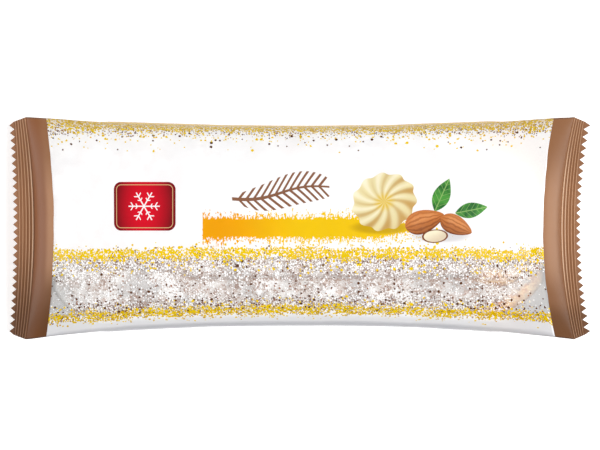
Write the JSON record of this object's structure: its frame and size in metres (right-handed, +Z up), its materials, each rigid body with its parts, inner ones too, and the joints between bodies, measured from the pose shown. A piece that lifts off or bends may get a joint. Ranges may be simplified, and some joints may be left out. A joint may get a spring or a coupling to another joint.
{
  "type": "packed stollen",
  "caption": "Sugar-dusted stollen loaf sealed in a long printed flow-wrap pack with a clear window strip and crimped, pinked ends.",
  "frame": {"origin": "middle of the base, at the middle of the pack's length and width", "axes": "+X along the pack from end seal to end seal, +Y across it away from the window strip, +Z up out of its printed face"},
  "size_m": [0.3403, 0.13, 0.054],
  "materials": {
    "film": "glossy printed film, part clear",
    "loaf": "sugar-dusted crust seen through the clear strip"
  },
  "bodies": {
    "root": {"stollen_pack": "film"}
  },
  "joints": []
}
